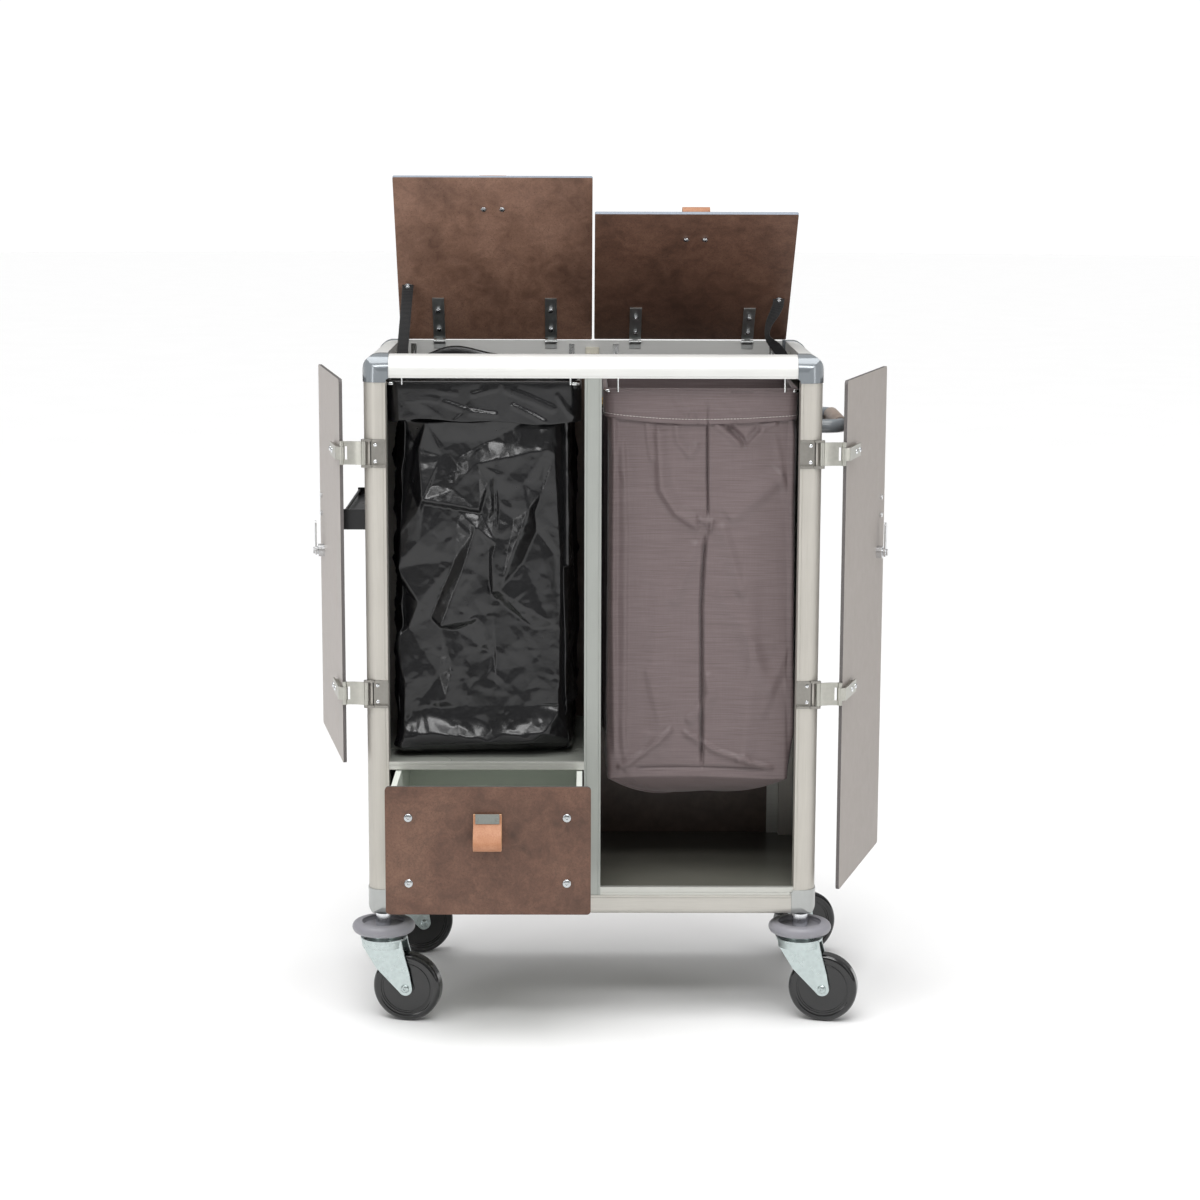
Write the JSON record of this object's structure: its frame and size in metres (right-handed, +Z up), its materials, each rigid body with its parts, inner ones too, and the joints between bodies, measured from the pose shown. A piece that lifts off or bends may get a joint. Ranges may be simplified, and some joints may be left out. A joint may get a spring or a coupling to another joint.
{
  "type": "housekeeping cart",
  "caption": "Housekeeping cart with an aluminium profile frame on swivel casters, lids and doors that open wide, a drawer, a trash bag and a laundry bag.",
  "frame": {"origin": "the floor point under the middle of the whole cart, with its doors, lids and drawer open as stored", "axes": "+Z up, -Y out of the front where the doors and the drawer are, +X to the right seen from the front, towards the push handle"},
  "size_m": [1.0862, 0.6431, 1.5214],
  "materials": {
    "anodised_aluminium": "satin anodised",
    "white_aluminium": "satin anodised, pale",
    "grey_casting": "gloss",
    "silver_casting": "satin silver",
    "panel_dark": "compact laminate, dark",
    "panel_grey": "compact laminate, satin",
    "steel_wire": "bright",
    "trash_film": "glossy film",
    "laundry_cloth": "coated polyester, fine slubs",
    "handle_grey": "powder coat",
    "grip_taupe": "matte foam",
    "black_rail": "black anodised",
    "zinc": "zinc, satin",
    "bright_steel": "bright",
    "webbing": "woven",
    "bumper_grey": "smooth",
    "laminate_brown": "compact laminate with a rust and leather look",
    "leather_tan": "vegetable tanned",
    "drawer_green": "satin",
    "zinc_fork": "zinc plated",
    "black_wheel": "polished"
  },
  "bodies": {
    "cart": {"posts_front": "anodised_aluminium", "posts_rear": "anodised_aluminium", "post_centre": "anodised_aluminium", "top_rails": "white_aluminium", "bottom_rails": "anodised_aluminium", "top_connectors": "grey_casting", "bottom_connectors": "silver_casting", "outer_panels": "panel_dark", "divider_panel": "panel_grey", "floor_panel": "panel_grey", "shelf_panel": "panel_grey", "edge_lips": "anodised_aluminium", "bag_frames": "steel_wire", "trash_bag": "trash_film", "laundry_bag": "laundry_cloth", "push_handle": "handle_grey", "handle_grip": "grip_taupe", "accessory_rail": "black_rail", "hinge_clips": "zinc", "hinge_pins": "zinc", "frame_screws": "bright_steel", "lid_hinge_bases": "zinc", "strap_left": "webbing", "strap_right": "webbing", "strap_brackets": "zinc", "drawer_rails": "bright_steel", "caster_stems": "bright_steel", "bumper_discs": "bumper_grey"},
    "left_arm": {"hinge_arms_left": "zinc"},
    "right_arm": {"hinge_arms_right": "zinc"},
    "left_door": {"door_left": "laminate_brown", "door_straps_left": "zinc", "door_bolts_left": "bright_steel", "door_pull_left": "leather_tan"},
    "left_latch": {"latch_left": "bright_steel"},
    "left_lid": {"lid_left": "laminate_brown", "lid_leaves_left": "zinc", "lid_bolts_left": "bright_steel", "lid_pull_left": "leather_tan"},
    "right_door": {"door_right": "laminate_brown", "door_straps_right": "zinc", "door_bolts_right": "bright_steel", "door_pull_right": "leather_tan"},
    "right_latch": {"latch_right": "bright_steel"},
    "right_lid": {"lid_right": "laminate_brown", "lid_leaves_right": "zinc", "lid_bolts_right": "bright_steel", "lid_pull_right": "leather_tan"},
    "drawer": {"drawer_front": "laminate_brown", "drawer_box": "drawer_green", "drawer_fittings": "bright_steel", "drawer_pull": "leather_tan"},
    "swivel_front_left": {"fork_front_left": "zinc_fork"},
    "roller_front_left": {"wheel_front_left": "black_wheel"},
    "swivel_front_right": {"fork_front_right": "zinc_fork"},
    "roller_front_right": {"wheel_front_right": "black_wheel"},
    "swivel_rear_left": {"fork_rear_left": "zinc_fork"},
    "roller_rear_left": {"wheel_rear_left": "black_wheel"},
    "swivel_rear_right": {"fork_rear_right": "zinc_fork"},
    "roller_rear_right": {"wheel_rear_right": "black_wheel"}
  },
  "joints": [
    {"name": "left_arm_hinge", "type": "hinge", "parent": "cart", "child": "left_arm", "pos_m": [-0.41945, -0.1445, 0.823], "axis": [0, 0, 1], "range_deg": [0, 180]},
    {"name": "left_door_hinge", "type": "hinge", "parent": "left_arm", "child": "left_door", "pos_m": [-0.45895, -0.138, 0.823], "axis": [0, 0, 1], "range_deg": [0, 78.55]},
    {"name": "left_latch_turn", "type": "hinge", "parent": "left_door", "child": "left_latch", "pos_m": [-0.5189, 0.15799, 0.822], "axis": [-0.9801, -0.1985, 0], "range_deg": [0, 90]},
    {"name": "right_arm_hinge", "type": "hinge", "parent": "cart", "child": "right_arm", "pos_m": [0.38855, -0.1445, 0.823], "axis": [0, 0, -1], "range_deg": [0, 180]},
    {"name": "right_door_hinge", "type": "hinge", "parent": "right_arm", "child": "right_door", "pos_m": [0.42805, -0.138, 0.823], "axis": [0, 0, -1], "range_deg": [0, 72.5]},
    {"name": "right_latch_turn", "type": "hinge", "parent": "right_door", "child": "right_latch", "pos_m": [0.51886, 0.15002, 0.822], "axis": [-0.9537, 0.3007, 0], "range_deg": [0, 90]},
    {"name": "left_lid_hinge", "type": "hinge", "parent": "cart", "child": "left_lid", "pos_m": [-0.19945, 0.2385, 1.21], "axis": [1, 0, 0], "range_deg": [0, 58.5], "deforming": ["strap_left"]},
    {"name": "right_lid_hinge", "type": "hinge", "parent": "cart", "child": "right_lid", "pos_m": [0.16855, 0.2385, 1.21], "axis": [1, 0, 0], "range_deg": [-16.2, 42.3], "deforming": ["strap_right"]},
    {"name": "drawer_slide", "type": "slide", "parent": "cart", "child": "drawer", "axis": [0, -1, 0], "range_m": [-0.1395, 0.2]},
    {"name": "swivel_turn_front_left", "type": "hinge", "parent": "cart", "child": "swivel_front_left", "pos_m": [-0.39445, -0.1265, 0.15], "axis": [0, 0, 1], "continuous": true},
    {"name": "wheel_spin_front_left", "type": "hinge", "parent": "swivel_front_left", "child": "roller_front_left", "pos_m": [-0.35043, -0.13586, 0.0625], "axis": [0.2079, 0.9781, 0], "continuous": true},
    {"name": "swivel_turn_front_right", "type": "hinge", "parent": "cart", "child": "swivel_front_right", "pos_m": [0.36355, -0.1265, 0.15], "axis": [0, 0, 1], "continuous": true},
    {"name": "wheel_spin_front_right", "type": "hinge", "parent": "swivel_front_right", "child": "roller_front_right", "pos_m": [0.40757, -0.13586, 0.0625], "axis": [0.2079, 0.9781, 0], "continuous": true},
    {"name": "swivel_turn_rear_left", "type": "hinge", "parent": "cart", "child": "swivel_rear_left", "pos_m": [-0.39445, 0.2645, 0.15], "axis": [0, 0, 1], "continuous": true},
    {"name": "wheel_spin_rear_left", "type": "hinge", "parent": "swivel_rear_left", "child": "roller_rear_left", "pos_m": [-0.35216, 0.27989, 0.0625], "axis": [-0.342, 0.9397, 0], "continuous": true},
    {"name": "swivel_turn_rear_right", "type": "hinge", "parent": "cart", "child": "swivel_rear_right", "pos_m": [0.36355, 0.2645, 0.15], "axis": [0, 0, 1], "continuous": true},
    {"name": "wheel_spin_rear_right", "type": "hinge", "parent": "swivel_rear_right", "child": "roller_rear_right", "pos_m": [0.40584, 0.27989, 0.0625], "axis": [-0.342, 0.9397, 0], "continuous": true}
  ],
  "couplings": [
    {"joint": "left_door_hinge", "follows": "left_arm_hinge", "ratio": 0.43639},
    {"joint": "right_door_hinge", "follows": "right_arm_hinge", "ratio": 0.40278}
  ]
}
